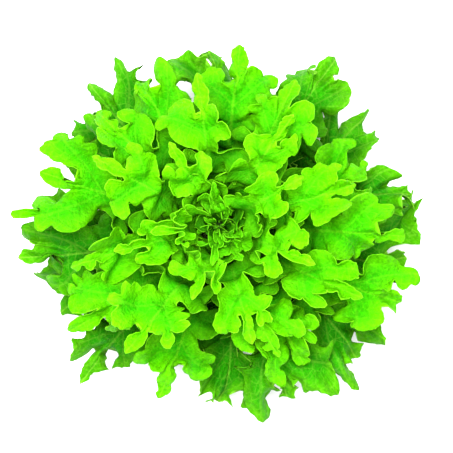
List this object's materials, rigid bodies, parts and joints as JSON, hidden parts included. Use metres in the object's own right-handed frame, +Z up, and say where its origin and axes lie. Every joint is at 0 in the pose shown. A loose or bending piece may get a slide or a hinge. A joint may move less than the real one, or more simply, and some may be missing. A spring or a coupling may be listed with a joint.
{
  "type": "oak-leaf lettuce head",
  "caption": "Loose-leaf head of green oak-leaf lettuce: lobed, waved leaves in a low dome round a frilled heart, on a short stem cut flat.",
  "frame": {"origin": "middle of the stem's flat cut face, which is also the lowest point of the head", "axes": "+Z up along the stem from the cut face to the heart; +X and +Y lie in the table, with +X to the picture's right and +Y to its top"},
  "size_m": [0.2793, 0.2587, 0.146],
  "materials": {
    "stem": "pale moist stem, cut face slightly browned",
    "leaf_outer": "soft satin leaf, mid green",
    "leaf_middle": "soft satin leaf, bright green",
    "leaf_inner": "soft satin leaf, yellow-green"
  },
  "bodies": {
    "root": {"cut_stem": "stem", "leaf_01": "leaf_outer", "leaf_02": "leaf_outer", "leaf_03": "leaf_outer", "leaf_04": "leaf_outer", "leaf_05": "leaf_outer", "leaf_06": "leaf_outer", "leaf_07": "leaf_outer", "leaf_08": "leaf_outer", "leaf_09": "leaf_outer", "leaf_10": "leaf_outer", "leaf_11": "leaf_outer", "leaf_12": "leaf_outer", "leaf_13": "leaf_outer", "leaf_14": "leaf_outer", "leaf_15": "leaf_middle", "leaf_16": "leaf_middle", "leaf_17": "leaf_middle", "leaf_18": "leaf_middle", "leaf_19": "leaf_middle", "leaf_20": "leaf_middle", "leaf_21": "leaf_middle", "leaf_22": "leaf_middle", "leaf_23": "leaf_middle", "leaf_24": "leaf_middle", "leaf_25": "leaf_middle", "leaf_26": "leaf_middle", "leaf_27": "leaf_middle", "leaf_28": "leaf_middle", "leaf_29": "leaf_inner", "leaf_30": "leaf_inner", "leaf_31": "leaf_inner", "leaf_32": "leaf_inner", "leaf_33": "leaf_inner", "leaf_34": "leaf_inner", "leaf_35": "leaf_inner", "leaf_36": "leaf_inner", "leaf_37": "leaf_inner", "leaf_38": "leaf_inner", "leaf_39": "leaf_inner", "leaf_40": "leaf_inner", "heart_leaves": "leaf_inner"}
  },
  "joints": []
}
